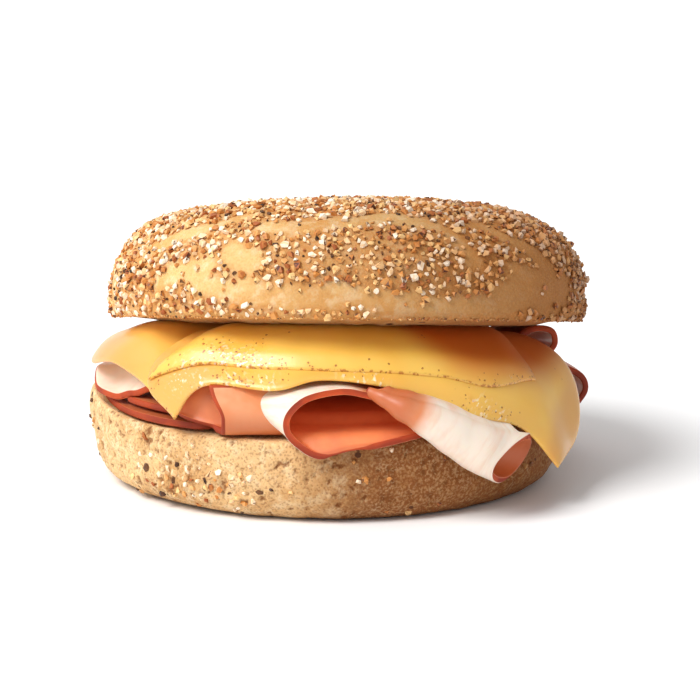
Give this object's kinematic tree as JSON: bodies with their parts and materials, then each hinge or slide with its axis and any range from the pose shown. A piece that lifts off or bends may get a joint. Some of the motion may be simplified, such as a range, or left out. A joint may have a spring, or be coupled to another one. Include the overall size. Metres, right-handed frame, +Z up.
{
  "type": "turkey and cheese toastie",
  "caption": "Toasted round roll crusted with crushed grain, filled with folded turkey slices and melted cheese slices that hang out at the front.",
  "frame": {"origin": "middle of the lower half's flat underside, on the surface that the roll stands on", "axes": "+Z up, -Y towards the front where the fillings hang out and the upper half gapes, +X to the right seen from the front"},
  "size_m": [0.1187, 0.1165, 0.069],
  "materials": {
    "heel_crumb": "porous toasted bread",
    "lid_crust": "toasted crust with crushed grain",
    "turkey": "moist sliced meat",
    "melted_cheese": "melted, slightly glossy"
  },
  "bodies": {
    "root": {"bun_heel": "heel_crumb", "bun_lid": "lid_crust", "turkey_base": "turkey", "turkey_left": "turkey", "turkey_curl": "turkey", "turkey_loop": "turkey", "turkey_roll": "turkey", "turkey_right": "turkey", "cheese_left": "melted_cheese", "cheese_main": "melted_cheese", "cheese_top": "melted_cheese"}
  },
  "joints": []
}
